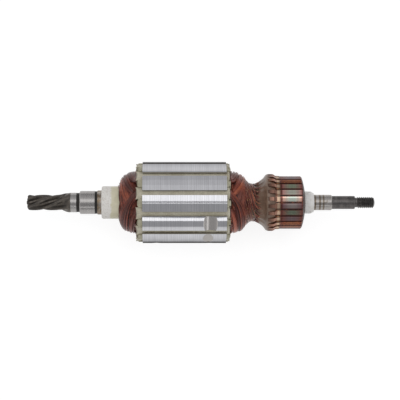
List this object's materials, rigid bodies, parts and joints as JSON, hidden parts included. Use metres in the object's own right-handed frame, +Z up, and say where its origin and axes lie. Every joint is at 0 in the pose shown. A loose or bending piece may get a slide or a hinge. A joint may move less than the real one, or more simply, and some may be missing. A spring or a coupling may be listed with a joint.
{
  "type": "motor armature",
  "caption": "Wound motor armature on a shaft with a helical pinion, laminated slotted core, brown winding heads, hooked commutator and threaded end.",
  "frame": {"origin": "on the shaft's axis, at the middle of the drive-end bearing seat", "axes": "+X along the shaft from the pinion towards the threaded end, +Z up with the armature lying on two teeth of its core, +Y across"},
  "size_m": [0.1793, 0.042, 0.042],
  "materials": {
    "shaft_steel": "ground seats, dark pinion and thread",
    "core_steel": "turned laminations",
    "end_insulation": "varnished fibre",
    "slot_paper": "varnished slot paper",
    "wedge_fibre": "satin",
    "magnet_wire": "enamelled copper under varnish",
    "sleeve_white": "matt moulded",
    "tube_plastic": "matt moulded",
    "resin": "dripped varnish",
    "commutator_copper": "turned, heat-tinted",
    "commutator_resin": "moulded phenolic",
    "mica": "undercut",
    "bush_steel": "plain"
  },
  "bodies": {
    "root": {"shaft": "shaft_steel", "core": "core_steel", "insulator_drive_end": "end_insulation", "insulator_commutator_end": "end_insulation", "slot_liners": "slot_paper", "slot_wedges": "wedge_fibre", "shaft_tube": "tube_plastic", "drive_end_sleeve": "sleeve_white", "neck_sleeve": "tube_plastic", "coil_leads": "magnet_wire", "lead_fillet": "resin", "commutator_bush": "bush_steel", "commutator_moulding": "commutator_resin", "commutator_separators": "mica", "collar": "sleeve_white", "coil_01": "magnet_wire", "coil_02": "magnet_wire", "coil_03": "magnet_wire", "coil_04": "magnet_wire", "coil_05": "magnet_wire", "coil_06": "magnet_wire", "coil_07": "magnet_wire", "coil_08": "magnet_wire", "coil_09": "magnet_wire", "coil_10": "magnet_wire", "coil_11": "magnet_wire", "coil_12": "magnet_wire", "commutator_bar_01": "commutator_copper", "commutator_bar_02": "commutator_copper", "commutator_bar_03": "commutator_copper", "commutator_bar_04": "commutator_copper", "commutator_bar_05": "commutator_copper", "commutator_bar_06": "commutator_copper", "commutator_bar_07": "commutator_copper", "commutator_bar_08": "commutator_copper", "commutator_bar_09": "commutator_copper", "commutator_bar_10": "commutator_copper", "commutator_bar_11": "commutator_copper", "commutator_bar_12": "commutator_copper", "commutator_bar_13": "commutator_copper", "commutator_bar_14": "commutator_copper", "commutator_bar_15": "commutator_copper", "commutator_bar_16": "commutator_copper", "commutator_bar_17": "commutator_copper", "commutator_bar_18": "commutator_copper", "commutator_bar_19": "commutator_copper", "commutator_bar_20": "commutator_copper", "commutator_bar_21": "commutator_copper", "commutator_bar_22": "commutator_copper", "commutator_bar_23": "commutator_copper", "commutator_bar_24": "commutator_copper"}
  },
  "joints": []
}
